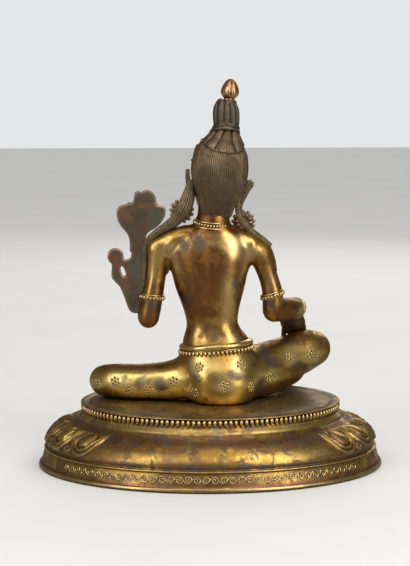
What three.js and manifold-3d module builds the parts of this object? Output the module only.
// A gilt bronze goddess seated at ease on an oval lotus base, her right foot down on a small lotus.
// Millimetres, +Z up. She faces -Y, her left is +X, and z = 0 is the underside of the base.
// Two castings: the figure (with hair, tiara, jewellery and the flat lotus spray at her left arm)
// and the plinth (with its foot flange, petals, top plate and foot lotus).

import * as THREE from 'three';
import { mergeVertices } from 'three/addons/utils/BufferGeometryUtils.js';
import Module from 'manifold-3d';

const wasm = await Module();
wasm.setup();

// Overall sizes
const TOTAL_HEIGHT = 190;
const BASE_HALF_WIDTH = 85;
const DEPTH_RATIO = 0.78;
const PLATE_HALF_WIDTH = 64;
const PLATE_TOP = 31.9;
const SEAT_GAP = 0.3;
const SEAT = PLATE_TOP + SEAT_GAP;

// The plinth's outline from the underside rim up to the plate: half-width, height
const PLINTH_OUTLINE = [
  [BASE_HALF_WIDTH - 0.8, 0],
  [BASE_HALF_WIDTH, 1.4],
  [83.6, 4.6],
  [81.3, 9.4],
  [81.6, 12.4],
  [80.1, 16.4],
  [76.6, 20.4],
  [71, 23.2],
  [66.4, 24.2],
  [65.8, 26],
  [61.6, 27.6],
  [PLATE_HALF_WIDTH, 29.4],
  [PLATE_HALF_WIDTH - 0.2, 31.2],
  [PLATE_HALF_WIDTH - 1.2, PLATE_TOP],
];
const PLINTH_SIDES = 40;
// The shallow recess underneath, inside the ring that it stands on
const FOOT_RING_WIDTH = 9;
const FOOT_RING_SLOPE = 1.5;
const UNDERSIDE_RECESS = 3;

// Lotus petals on the shoulder, left off across the back. Angles are counted from +X towards the back.
const PETAL_PITCH = 18.6;
const PETAL_FIRST_ANGLE = 37;
const PETAL_LAST_ANGLE = -218;
const PETAL_RING = { halfWidth: 77.4, z: 18.6 };
const PETAL_LEAN = 44;
const PETAL_CORNERS = 4;
const PETAL = {
  halfWidth: 8.6, bossHalfWidth: 4.4, tall: 5.6, rise: 2.6, edgeRise: 1.7, sideLift: 1.2, sideThick: 1.1,
};

// The small lotus that carries the right foot: a fluted cup on the plinth's shoulder
const FOOT_LOTUS = { x: -31.4, y: -56.2, bottom: 10, top: 24.8, radius: 9.4, petals: 8, petalDepth: 0.07 };

// Level sections of the trunk, with the girdle and the choker: height, centre x, centre y,
// half-width, half-depth
const TRUNK = [
  [SEAT, -4.8, 4, 13, 12.6],
  [35, -5.2, 4, 16, 15.4],
  [40, -5.4, 4, 18, 17],
  [47, -4.9, 4, 18.8, 16.4],
  [56.6, -2.6, 3.3, 18, 13.4],
  [57.2, -2.5, 3.2, 19.4, 14.8],
  [60, -2.1, 3.1, 18.4, 13.8],
  [60.6, -2, 3, 16.8, 12.2],
  [64, -1.4, 2.7, 15, 11],
  [70, -0.6, 2.3, 12.6, 9.8],
  [78, -0.2, 2.4, 13.8, 10.3],
  [88, 0.4, 2.9, 17, 11.3],
  [98, 0.6, 3, 19.2, 11.8],
  [107, 0.4, 3.3, 20.2, 10.8],
  [113, 0, 3.5, 16.4, 8.6],
  [117.2, -0.5, 3.6, 10.2, 7.4],
  [117.8, -0.6, 3.4, 9.8, 8],
  [119.8, -0.8, 3.2, 8.4, 7.6],
  [120.4, -0.9, 3.2, 7.4, 6.7],
  [131, -2, 1.4, 7.2, 6.6],
];
// The shoulders, from her left to her right: x, y, z, radius
const YOKE = [
  [26.6, 2, 107, 5.6],
  [17, 2.8, 110.4, 6.6],
  [0, 3.4, 111.8, 6.6],
  [-16.6, 2.8, 108.8, 6.4],
  [-25, 2, 105, 5.2],
];
const YOKE_DEPTH = 1.15;
const BREAST = { apart: 8.8, y: -6.2, z: 95, radius: 7.2, depth: 0.95 };

// Limbs: x, y, z, radius from one end to the other. The wider pairs on the upper arms are the armbands.
const LEFT_ARM = [
  [21.5, 2.6, 110, 6],
  [25.4, 2, 105.5, 6],
  [26.4, 1.8, 98, 5.1],
  [27.3, 1.8, 90, 5.1],
  [28.7, 2.1, 84.6, 5.4],
  [28.8, 2.1, 84.2, 6.3],
  [29, 2.2, 82, 6.3],
  [29.1, 2.2, 81.6, 5.5],
  [30.4, 2, 74.6, 5.6],
];
const LEFT_FOREARM = [
  [30.6, 1.6, 74.4, 5.4],
  [30.4, -8, 77.5, 4.9],
  [28.6, -17, 83, 4],
  [26.2, -24.4, 88.6, 3.1],
];
const RIGHT_ARM = [
  [-20.6, 2.6, 108, 6],
  [-24.4, 2, 103.6, 5.8],
  [-26.8, 1.5, 97, 4.8],
  [-28.9, 1.1, 91, 4.8],
  [-29.9, 1, 86.2, 5.1],
  [-30.1, 1, 85.8, 6],
  [-30.8, 1, 83.8, 6],
  [-30.9, 1, 83.4, 5.2],
  [-30.6, 0.6, 77, 5.3],
];
const RIGHT_FOREARM = [
  [-30.6, 0.4, 76.6, 5.2],
  [-36.6, -6, 77, 5.2],
  [-41.2, -13, 76.6, 4.5],
  [-43.4, -19, 75.2, 3.5],
];
const LEFT_LEG = [
  [4, 3, 43, 10.6],
  [21, 1.4, 40.8, 8.9],
  [36, -1.4, 40, 8.2],
  [47.5, -5.6, 39.6, 7.8],
  [52, -8.6, 39.4, 7.4],
];
const LEFT_SHIN = [
  [51.8, -11, 39.2, 7.1],
  [43, -20.4, 38.8, 6.8],
  [30, -27, 38, 5.9],
  [15, -31.4, 37.3, 4.5],
];
const RIGHT_LEG = [
  [-10, 0, 44.5, 11],
  [-23, -7, 47.6, 9.8],
  [-38, -15.6, 51.2, 8.9],
  [-48.5, -22, 53.6, 8.6],
  [-52.6, -25.4, 53.6, 8.3],
];
const RIGHT_SHIN = [
  [-52.4, -26.4, 52.6, 7.9],
  [-45.5, -36.4, 44.4, 7],
  [-35.6, -45, 36.2, 5.5],
  [-28.6, -49.6, 30, 4.2],
];
// The dhoti's cloth between the right thigh and the seat
const RIGHT_DRAPE = [
  [-15, 2, 41.4, 9],
  [-27, -6, 41, 8.8],
  [-37, -17, 44, 7.4],
];
// The cloth gathered in her lap between the thighs and the folded shin
const LAP_CLOTH = [
  [-21, -12.6, 41.4, 7],
  [-5, -17.4, 38, 6],
  [12, -17.6, 37.4, 5.6],
  [28, -15, 37.8, 5.6],
];

// Hands: where the wrist is, which way the fingers and the palm's width run, and their sizes
const LEFT_HAND = {
  wrist: [26, -24.8, 89], along: [-3.4, -3, 11], across: [-1, 0.4, 0],
  length: 17, width: 9, curl: -2, thumbSide: 1,
};
const RIGHT_HAND = {
  wrist: [-42.6, -19.6, 74], along: [0.4, -11, -13], across: [-1, 0, 0],
  length: 23, width: 11, curl: 3, thumbSide: -1,
};
// Palm stations and finger reaches, as shares of the hand's length and width
const PALM = { wrist: 0.32, knuckles: 0.46, length: 0.4, thick: 0.55 };
const FINGER_REACH = [0.92, 1.02, 1, 0.86];
const FINGER = { firstOffset: 0.375, pitch: 0.25 };

// Feet: heel and toe on the surface they rest on, width and height of the instep's section
const LEFT_FOOT = { heel: [16, -32, SEAT + 0.6], toe: [-11, -31, SEAT + 0.6], width: 6.4, height: 5.4 };
const RIGHT_FOOT = {
  heel: [-26.4, -48.8, FOOT_LOTUS.top + SEAT_GAP],
  toe: [-37, -64, FOOT_LOTUS.top + SEAT_GAP],
  width: 5.8, height: 4,
};
// Along the foot from heel to toe: share of its length, share of its width
const FOOT_STATIONS = [[0.06, 0.62], [0.3, 0.72], [0.62, 0.78], [0.9, 0.66]];

// The head's own frame: it leans to her right and turns a little to her left
const HEAD = { x: -1.7, y: 2.2, z: 122, lean: 6.6, turn: 8, nod: 4 };
// Sections of the head above that origin: height, centre y, half-width, half-depth
const SKULL = [
  [1.6, -7.6, 3.4, 3.2],
  [5, -5.4, 7.4, 7],
  [12, -3.4, 10.4, 10.4],
  [20, -2, 11.6, 12.2],
  [29, -1.2, 11.2, 11.6],
];
const HAIR = [
  [2.4, 4.4, 7.6, 3.4],
  [7, 4, 8.8, 5.6],
  [13, 2.8, 11.6, 8.6],
  [19, 1.6, 13.6, 11],
  [25, 0.8, 14.1, 12.2],
  [31, 0.2, 13.3, 12],
  [36, -0.4, 11.2, 10.4],
  [39, -0.6, 8.8, 8.4],
];
// The looped topknot on the crown of the head: height, half-width
const KNOT_OUTLINE = [
  [37, 8.8],
  [40, 8],
  [44, 7.2],
  [48.5, 7.2],
  [53.6, 6.3],
  [57, 5.2],
  [58.2, 3.6],
];
const KNOT = { y: -0.4, loops: 7, loopDepth: 0.06, sides: 14, depth: 0.96 };
// The jewel on top of it, leaning with the head: height, half-width
const FINIAL_TIP = (TOTAL_HEIGHT - HEAD.z) / Math.cos(THREE.MathUtils.degToRad(HEAD.lean)) + 0.1;
const FINIAL_X = -0.5;
const FINIAL = [
  [57.6, 2.6],
  [59.4, 3.6],
  [61.8, 4.4],
  [65.2, 3.6],
  [67.6, 2.1],
  [FINIAL_TIP, 0.6],
];

// Tiara leaves: bearing from the front, height, half-width, stand-off from the head's axis
const TIARA_BAND = { y: -1.3, z: 27.2, halfWidth: 12.9, halfDepth: 12.2, thick: 1.1 };
const TIARA_LEAVES = [
  [0, 23, 5.6, 13.6],
  [36, 12.5, 4.2, 13.9],
  [-36, 12.5, 4.2, 13.9],
  [72, 10.5, 3.8, 13.6],
  [-72, 10.5, 3.8, 13.6],
];
const TIARA_LEAF = { thick: 1.3, backLean: 4 };
const NOSE = [[0, -12.6, 19, 0.9], [0, -14.6, 13.4, 1.5]];
const LIPS = { y: -12.2, z: 8.4, halfWidth: 2.6, depth: 1.3, halfHeight: 1.1 };
const CHIN = { y: -10.6, z: 4.2, halfWidth: 2.6, depth: 2.2, halfHeight: 2.2 };
const EAR = [[10.6, -2.6, 20, 1.9], [11.6, -2.4, 13, 1.6], [12.2, -2.8, 8, 1.4]];
const EAR_DISC = { out: 13.6, y: -3.4, z: 2.4, radius: 7.4, thick: 2.2 };

// Hair falling over the shoulders, and the tiara's two ribbons
const LEFT_LOCK = [[11.4, 5, 134, 2.2], [14.4, 4.6, 123.6, 3], [21.4, 4.2, 117, 3.2], [28, 3.6, 111.6, 2.2]];
const RIGHT_LOCK = [[-11.6, 5, 130, 2.2], [-14.6, 4.6, 120.6, 3], [-20.6, 4, 114.6, 3], [-26, 3.4, 109.4, 2]];
const LEFT_RIBBON = [
  [11.6, 0.4, 146, 0.9], [13, 0.6, 138, 1.2], [13.4, 1.4, 130, 1.5], [16.4, 2, 121.6, 1.9],
];
const RIGHT_RIBBON = [
  [-18.6, 0.2, 141, 1], [-16.6, 0.8, 133.6, 1.3], [-16, 1.6, 126.4, 1.6],
  [-20.6, 2.2, 118.4, 1.7], [-26.6, 2.4, 113, 1.5], [-30.6, 2.4, 109, 0.9],
];
const LOCK_DEPTH = 1.2;

// The flat lotus spray at her left arm: its outline seen from behind, x to her left, z up
const SPRAY_THICK = 3.2;
const SPRAY_BACK = 3.4;
const SPRAY_BLOOM = [
  [39.6, 108], [39.6, 112.4], [43, 116.6], [45.4, 120.4], [45.7, 124.4], [43.8, 127],
  [38.8, 129.2], [37.2, 134.4], [31.6, 136], [28, 134.4], [26.2, 127.6], [22.6, 126.2],
  [22.2, 123], [24, 119.6], [29.4, 115.6], [32, 112.4], [32.3, 108],
];
const SPRAY_STEM = [
  [39.8, 110], [39.6, 102.8], [42.4, 102.4], [47.4, 107.2], [50.4, 104], [48.2, 97.4],
  [47.4, 89], [43.6, 85.2], [38.4, 75.2], [34.4, 75.4], [31, 82], [31, 92], [32.4, 110],
];
const SPRAY_HOLE = { x: 42.9, z: 96.2, halfWidth: 1.5, halfHeight: 3.2, lean: 18 };
// The stalk that she holds, from her left hand back to the spray
const SPRAY_STALK = [
  [23.6, -29, 92, 1.3], [31, -26, 86, 1.4], [37.2, -16, 80, 1.5], [38.6, -6, 79.6, 1.7], [37.6, 1, 81.4, 1.8],
];
const SPRAY_PETALS = { x: 33.6, z: 119, fan: [0, 34, -34], height: 13, halfWidth: 3.9, thick: 1.8, lean: 7 };

const FINISH = {
  gilt: new THREE.MeshStandardMaterial({ color: 0xa8803f, roughness: 0.38, metalness: 1 }),
  patina: new THREE.MeshStandardMaterial({ color: 0x8a6a3c, roughness: 0.45, metalness: 1 }),
};

const UP = new THREE.Vector3(0, 0, 1);
const ACROSS = new THREE.Vector3(1, 0, 0);
// Where the domed end of a limb has its outer ring, as an angle from the limb's widest
const DOME = 50;
const radians = THREE.MathUtils.degToRad;

function smoothPath(points) {
  return new THREE.CatmullRomCurve3(points, false, 'catmullrom', 0.5);
}

// A closed body through rings of equal point count, with a fan to a pole at each end
function skin(rings, startPole, endPole) {
  const sides = rings[0].length;
  const points = [...rings.flat(), startPole, endPole];
  const start = points.length - 2;
  const end = points.length - 1;
  const last = (rings.length - 1) * sides;
  const faces = [];
  for (let i = 0; i < sides; i += 1) {
    const j = (i + 1) % sides;
    faces.push(start, j, i);
    for (let low = 0; low < last; low += sides) {
      const high = low + sides;
      faces.push(low + i, low + j, high + j, low + i, high + j, high + i);
    }
    faces.push(last + i, last + j, end);
  }
  const geometry = new THREE.BufferGeometry();
  const flat = points.flatMap((p) => [p.x, p.y, p.z]);
  geometry.setAttribute('position', new THREE.Float32BufferAttribute(flat, 3));
  geometry.setIndex(faces);
  return geometry;
}

function signedVolume(positions, index) {
  const corner = (n) => new THREE.Vector3().fromArray(positions, 3 * index[n]);
  let six = 0;
  for (let i = 0; i < index.length; i += 3) {
    six += corner(i).dot(corner(i + 1).cross(corner(i + 2)));
  }
  return six / 6;
}

// Any closed geometry as a solid that can be joined and cut, its faces turned outwards
function solid(geometry) {
  const bare = new THREE.BufferGeometry();
  bare.setAttribute('position', geometry.getAttribute('position').clone());
  if (geometry.index) bare.setIndex(geometry.index.clone());
  const merged = mergeVertices(bare, 1e-4);
  const positions = Float32Array.from(merged.getAttribute('position').array);
  const index = Uint32Array.from(merged.index.array);
  if (signedVolume(positions, index) < 0) {
    for (let i = 0; i < index.length; i += 3) [index[i], index[i + 1]] = [index[i + 1], index[i]];
  }
  return new wasm.Manifold(new wasm.Mesh({ numProp: 3, vertProperties: positions, triVerts: index }));
}

function join(solids) {
  return solids.reduce((whole, next) => whole.add(next));
}

function toGeometry(manifold) {
  const mesh = manifold.getMesh();
  const geometry = new THREE.BufferGeometry();
  geometry.setAttribute('position', new THREE.Float32BufferAttribute(mesh.vertProperties, mesh.numProp));
  geometry.setIndex(Array.from(mesh.triVerts));
  return geometry;
}

// A body of level elliptical sections: [z, x, y, half-width, half-depth], one ring at each
function levelBody(sections, sides, flute = () => 1) {
  const rings = sections.map(([z, x, y, wide, deep], level) => Array.from({ length: sides }, (_, i) => {
    const turn = (2 * Math.PI * i) / sides;
    const swell = flute(turn, level / (sections.length - 1));
    return new THREE.Vector3(x + wide * swell * Math.cos(turn), y + deep * swell * Math.sin(turn), z);
  }));
  const pole = ([z, x, y]) => new THREE.Vector3(x, y, z);
  return skin(rings, pole(sections[0]), pole(sections[sections.length - 1]));
}

// A round limb through [x, y, z, radius], square to its path, with domed ends
function limb(stations, sides, across = ACROSS, flatten = 1) {
  const path = smoothPath(stations.map(([x, y, z]) => new THREE.Vector3(x, y, z)));
  const ringAt = (centre, tangent, radius) => {
    const side = across.clone().addScaledVector(tangent, -across.dot(tangent)).normalize();
    const other = new THREE.Vector3().crossVectors(tangent, side);
    return Array.from({ length: sides }, (_, i) => {
      const turn = (2 * Math.PI * i) / sides;
      return centre.clone()
        .addScaledVector(side, radius * Math.cos(turn))
        .addScaledVector(other, radius * flatten * Math.sin(turn));
    });
  };
  const last = stations.length - 1;
  const end = (index, way) => {
    const radius = stations[index][3];
    const centre = path.getPoint(index / last);
    const tangent = path.getTangent(index / last);
    const reach = way * radius * flatten;
    const ring = ringAt(
      centre.clone().addScaledVector(tangent, reach * Math.sin(radians(DOME))),
      tangent,
      radius * Math.cos(radians(DOME)),
    );
    return { ring, pole: centre.clone().addScaledVector(tangent, reach) };
  };
  const start = end(0, -1);
  const finish = end(last, 1);
  const rings = stations.map(([, , , radius], i) => (
    ringAt(path.getPoint(i / last), path.getTangent(i / last), radius)));
  return skin([start.ring, ...rings, finish.ring], start.pole, finish.pole);
}

function ball({ x = 0, y, z, halfWidth, depth, halfHeight }, sides = 6) {
  return new THREE.SphereGeometry(1, sides, Math.round(sides * 0.7))
    .rotateX(Math.PI / 2)
    .scale(halfWidth, depth, halfHeight)
    .translate(x, y, z);
}

// The tiara's round band: a four-sided section carried round an ellipse
function buildTiaraBand(sides) {
  const { y, z, halfWidth, halfDepth, thick } = TIARA_BAND;
  const ring = new THREE.TorusGeometry(1, thick / halfWidth, 4, sides);
  return ring.scale(halfWidth, halfDepth, halfWidth).translate(0, y, z);
}

// A flat plate cut to a smooth outline in x and z, its back at y = back
function sheet(outline, thick, back) {
  const shape = new THREE.Shape();
  const [first, ...others] = outline.map(([x, z]) => new THREE.Vector2(x, z));
  shape.moveTo(first.x, first.y);
  shape.splineThru(others);
  shape.closePath();
  const plate = new THREE.ExtrudeGeometry(shape, { depth: thick, bevelEnabled: false, curveSegments: 1 });
  return plate.rotateX(Math.PI / 2).translate(0, back, 0);
}

// A pointed leaf standing in the x-z plane, its foot at the origin, thick in the middle
function leaf(height, halfWidth, thick) {
  const rings = [0.04, 0.3, 0.62, 0.88].map((level) => {
    const wide = halfWidth * Math.sin(Math.PI * (0.28 + level * 0.72)) ** 0.7;
    return [[1, 0], [0, 1], [-1, 0], [0, -0.6]].map(([out, deep]) => (
      new THREE.Vector3(out * wide, deep * thick, level * height)));
  });
  return skin(rings, new THREE.Vector3(0, 0, 0), new THREE.Vector3(0, 0, height));
}

// A hand: a palm with four fingers and a thumb. Its own axes run along the fingers and across the palm.
function hand({ wrist, along, across, length, width, curl, thumbSide }) {
  const origin = new THREE.Vector3(...wrist);
  const way = new THREE.Vector3(...along).normalize();
  const side = new THREE.Vector3(...across);
  side.addScaledVector(way, -side.dot(way)).normalize();
  const away = new THREE.Vector3().crossVectors(way, side);
  const station = (forward, sideways, out, radius) => {
    const place = origin.clone()
      .addScaledVector(way, forward * length)
      .addScaledVector(side, sideways * width)
      .addScaledVector(away, out * curl);
    return [place.x, place.y, place.z, radius * width];
  };
  const palm = limb([
    station(0, 0, 0, PALM.wrist),
    station(PALM.length, 0, 0, PALM.knuckles),
  ], 8, side, PALM.thick);
  const fingers = FINGER_REACH.map((reach, i) => {
    const sideways = FINGER.firstOffset - FINGER.pitch * i;
    return limb([
      station(0.5, sideways, 0, 0.115),
      station(0.74, sideways, 0.35, 0.11),
      station(reach, sideways, 1, 0.09),
    ], 4, side);
  });
  const thumb = limb([
    station(0.12, thumbSide * 0.4, 0, 0.14),
    station(0.42, thumbSide * 0.62, 0.2, 0.12),
    station(0.64, thumbSide * 0.6, 0.5, 0.1),
  ], 4, side);
  return [palm, ...fingers, thumb];
}

// A foot from the heel to the toes, its sole on the plane of both
function foot({ heel, toe, width, height }) {
  const back = new THREE.Vector3(...heel);
  const way = new THREE.Vector3(...toe).sub(back);
  const side = new THREE.Vector3().crossVectors(way, UP).normalize();
  const stations = FOOT_STATIONS.map(([forward, share]) => {
    const place = back.clone().addScaledVector(way, forward).addScaledVector(UP, share * height);
    return [place.x, place.y, place.z, share * width];
  });
  return limb(stations, 8, side, height / width);
}

function placeOnHead(geometry) {
  const stance = new THREE.Matrix4()
    .makeTranslation(HEAD.x, HEAD.y, HEAD.z)
    .multiply(new THREE.Matrix4().makeRotationY(radians(-HEAD.lean)))
    .multiply(new THREE.Matrix4().makeRotationZ(radians(HEAD.turn)))
    .multiply(new THREE.Matrix4().makeRotationX(radians(HEAD.nod)));
  return geometry.applyMatrix4(stance);
}

function buildHead() {
  const skull = levelBody(SKULL.map(([z, y, wide, deep]) => [z, 0, y, wide, deep]), 12);
  const hair = levelBody(HAIR.map(([z, y, wide, deep]) => [z, 0, y, wide, deep]), 12);
  const loops = (turn) => 1 + KNOT.loopDepth * Math.cos(KNOT.loops * turn);
  const knot = levelBody(
    KNOT_OUTLINE.map(([z, half]) => [z, 0, KNOT.y, half, half * KNOT.depth]), KNOT.sides, loops);
  const finial = levelBody(FINIAL.map(([z, half]) => [z, FINIAL_X, KNOT.y, half, half]), 8);
  const leaves = TIARA_LEAVES.map(([bearing, height, halfWidth, out]) => (
    leaf(height, halfWidth, TIARA_LEAF.thick)
      .rotateX(radians(-TIARA_LEAF.backLean))
      .translate(0, -out, TIARA_BAND.z - TIARA_BAND.thick)
      .rotateZ(radians(bearing))));
  const ears = [1, -1].flatMap((side) => [
    limb(EAR.map(([x, y, z, radius]) => [side * x, y, z, radius]), 5),
    new THREE.CylinderGeometry(EAR_DISC.radius, EAR_DISC.radius, EAR_DISC.thick, 10)
      .translate(side * EAR_DISC.out, EAR_DISC.y, EAR_DISC.z),
  ]);
  const pieces = [
    skull, hair, knot, finial, limb(NOSE, 5), ball(LIPS), ball(CHIN), buildTiaraBand(12), ...leaves, ...ears,
  ];
  return pieces.map((piece) => solid(placeOnHead(piece)));
}

function buildTrunk() {
  const breasts = [1, -1].map((side) => ball({
    x: side * BREAST.apart,
    y: BREAST.y,
    z: BREAST.z,
    halfWidth: BREAST.radius,
    depth: BREAST.radius * BREAST.depth,
    halfHeight: BREAST.radius,
  }, 8));
  return [levelBody(TRUNK, 15), limb(YOKE, 9, UP, YOKE_DEPTH), ...breasts].map(solid);
}

function buildArms() {
  return [
    limb(LEFT_ARM, 9), limb(LEFT_FOREARM, 7), ...hand(LEFT_HAND),
    limb(RIGHT_ARM, 9), limb(RIGHT_FOREARM, 7, UP), ...hand(RIGHT_HAND),
  ].map(solid);
}

function buildLegs() {
  return [
    limb(LEFT_LEG, 10), limb(LEFT_SHIN, 8, UP), foot(LEFT_FOOT), limb(LAP_CLOTH, 7, UP),
    limb(RIGHT_LEG, 10), limb(RIGHT_DRAPE, 7, UP), limb(RIGHT_SHIN, 8), foot(RIGHT_FOOT),
  ].map(solid);
}

function buildSpray() {
  const bloom = solid(sheet(SPRAY_BLOOM, SPRAY_THICK, SPRAY_BACK));
  const stem = solid(sheet(SPRAY_STEM, SPRAY_THICK, SPRAY_BACK));
  const hole = solid(new THREE.CylinderGeometry(1, 1, 4 * SPRAY_THICK, 10)
    .scale(SPRAY_HOLE.halfWidth, 1, SPRAY_HOLE.halfHeight)
    .rotateY(radians(SPRAY_HOLE.lean))
    .translate(SPRAY_HOLE.x, SPRAY_BACK, SPRAY_HOLE.z));
  const { x, z, fan, height, halfWidth, thick, lean } = SPRAY_PETALS;
  const petals = fan.map((spread) => solid(leaf(height, halfWidth, thick)
    .rotateY(radians(spread))
    .rotateX(radians(lean))
    .translate(x, SPRAY_BACK - SPRAY_THICK, z)));
  return [bloom.add(stem).subtract(hole), solid(limb(SPRAY_STALK, 5)), ...petals];
}

function buildLocksAndRibbons() {
  const locks = [LEFT_LOCK, RIGHT_LOCK].map((lock) => limb(lock, 6, UP, LOCK_DEPTH));
  const ribbons = [LEFT_RIBBON, RIGHT_RIBBON].map((ribbon) => limb(ribbon, 5));
  return [...locks, ...ribbons].map(solid);
}

// Angles of the petals: even steps along the shoulder from the left end of the row round to the right end
function petalAngles() {
  const fine = 720;
  const from = radians(PETAL_FIRST_ANGLE);
  const span = radians(PETAL_LAST_ANGLE) - from;
  const lengths = [0];
  for (let i = 0; i < fine; i += 1) {
    const angle = from + (span * (i + 0.5)) / fine;
    const speed = PETAL_RING.halfWidth * Math.hypot(Math.sin(angle), DEPTH_RATIO * Math.cos(angle));
    lengths.push(lengths[i] + (speed * Math.abs(span)) / fine);
  }
  const total = lengths[fine];
  const gaps = Math.round(total / PETAL_PITCH);
  return Array.from({ length: gaps + 1 }, (_, n) => {
    const wanted = Math.min((total * n) / gaps, total - 1e-6);
    return from + (span * lengths.findIndex((length) => length >= wanted)) / fine;
  });
}

// One downturned petal: a rounded boss inside a broad low rim that narrows to its sides
function buildPetal() {
  const { halfWidth, bossHalfWidth, tall, rise, edgeRise, sideLift, sideThick } = PETAL;
  const sections = [
    [-halfWidth, sideLift, tall * 0.4, sideThick],
    [-bossHalfWidth, 0.4, tall * 0.88, edgeRise],
    [0, 0, tall, rise],
    [bossHalfWidth, 0.4, tall * 0.88, edgeRise],
    [halfWidth, sideLift, tall * 0.4, sideThick],
  ];
  const rings = sections.map(([x, middle, half, thick]) => Array.from({ length: PETAL_CORNERS }, (_, i) => {
    const turn = (2 * Math.PI * (i + 0.5)) / PETAL_CORNERS;
    return new THREE.Vector3(x, -thick * Math.cos(turn), middle + half * Math.sin(turn));
  }));
  const tip = (side) => new THREE.Vector3(side * (halfWidth + 0.4), 0, sideLift);
  return solid(skin(rings, tip(-1), tip(1)));
}

// The small lotus that springs from the shoulder under the right foot
function buildFootLotus() {
  const { x, y, bottom, top, radius, petals, petalDepth } = FOOT_LOTUS;
  const flare = (turn, level) => 1 + petalDepth * Math.cos(petals * turn) * Math.sin(Math.PI * level);
  return solid(levelBody([
    [bottom, x, y + 4, radius * 0.5, radius * 0.5],
    [bottom + 3.5, x, y + 1, radius * 0.82, radius * 0.78],
    [top - 3, x, y, radius, radius],
    [top - 1, x, y, radius * 0.98, radius * 0.98],
    [top, x, y, radius * 0.86, radius * 0.86],
  ], 2 * petals, flare));
}

function buildPlinth() {
  const inner = BASE_HALF_WIDTH - FOOT_RING_WIDTH;
  const profile = [
    [0, UNDERSIDE_RECESS],
    [inner - FOOT_RING_SLOPE, UNDERSIDE_RECESS],
    [inner, 0],
    ...PLINTH_OUTLINE,
    [0, PLATE_TOP],
  ].map(([half, z]) => new THREE.Vector2(half, z));
  const body = solid(new THREE.LatheGeometry(profile, PLINTH_SIDES)
    .rotateX(Math.PI / 2)
    .scale(1, DEPTH_RATIO, 1));
  const petal = buildPetal();
  const petals = petalAngles().map((angle) => {
    const x = PETAL_RING.halfWidth * Math.cos(angle);
    const y = PETAL_RING.halfWidth * DEPTH_RATIO * Math.sin(angle);
    const facing = Math.atan2(y / DEPTH_RATIO ** 2, x);
    return petal
      .rotate([-PETAL_LEAN, 0, 0])
      .rotate([0, 0, THREE.MathUtils.radToDeg(facing) + 90])
      .translate([x, y, PETAL_RING.z]);
  });
  return join([body, ...petals, buildFootLotus()]);
}

// What the figure is cut back by: the plate and the foot lotus, each with the gap added
function seatClearance() {
  const half = PLATE_HALF_WIDTH + SEAT_GAP;
  const plate = new THREE.CylinderGeometry(half, half, SEAT, PLINTH_SIDES)
    .rotateX(Math.PI / 2)
    .scale(1, DEPTH_RATIO, 1)
    .translate(0, 0, SEAT / 2);
  const { x, y, top, radius } = FOOT_LOTUS;
  const reach = radius + 2;
  const tread = new THREE.CylinderGeometry(reach, reach, top + SEAT_GAP, 12)
    .rotateX(Math.PI / 2)
    .translate(x, y, (top + SEAT_GAP) / 2);
  return join([solid(plate), solid(tread)]);
}

function named(name, manifold, material) {
  const mesh = new THREE.Mesh(toGeometry(manifold), material);
  mesh.name = name;
  return mesh;
}

const figure = join([
  ...buildTrunk(), ...buildLegs(), ...buildArms(), ...buildHead(), ...buildSpray(), ...buildLocksAndRibbons(),
]).subtract(seatClearance());

const group = new THREE.Group();
group.add(named('goddess_figure', figure, FINISH.gilt));
group.add(named('lotus_base', buildPlinth(), FINISH.patina));

export default group;
